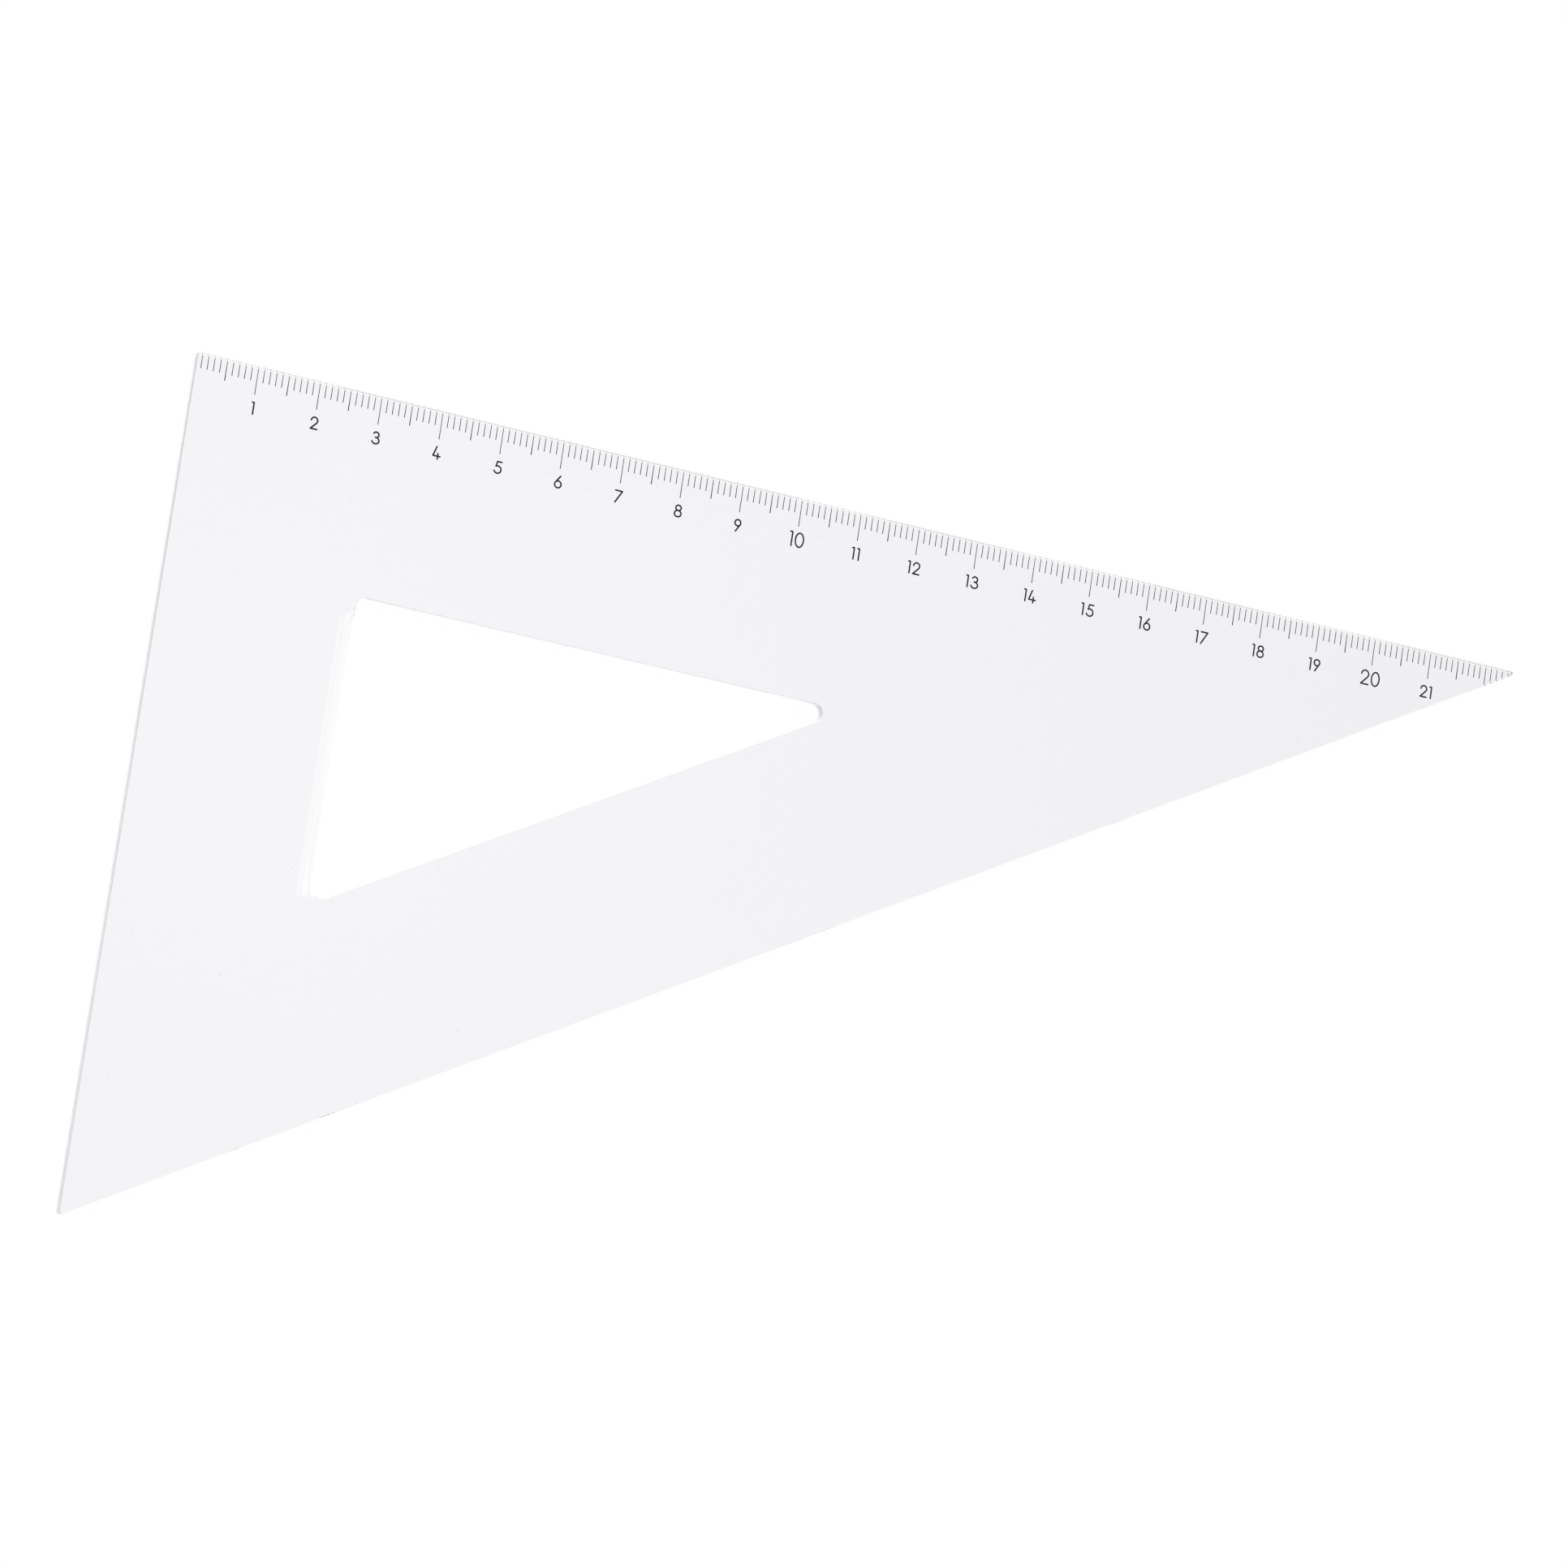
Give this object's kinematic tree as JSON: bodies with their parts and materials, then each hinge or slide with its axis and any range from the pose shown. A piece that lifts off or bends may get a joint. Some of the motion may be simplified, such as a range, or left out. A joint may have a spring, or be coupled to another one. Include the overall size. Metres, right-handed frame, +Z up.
{
  "type": "drafting triangle",
  "caption": "Clear flat drafting triangle, 30/60/90 degrees, with a centimetre scale along the longer leg and a triangular cut-out with a lifting bevel.",
  "frame": {"origin": "centre of the bounding box, on the underside that carries the scale", "axes": "+X along the scale towards the 30 degree tip, +Y square to the scale edge and away from the cut-out, +Z up through the sheet towards the reader"},
  "size_m": [0.2244, 0.1298, 0.0017],
  "materials": {
    "clear_acrylic": "clear polished acrylic, with fine broken arrises"
  },
  "bodies": {
    "root": {"clear_sheet": "clear_acrylic"}
  },
  "joints": []
}
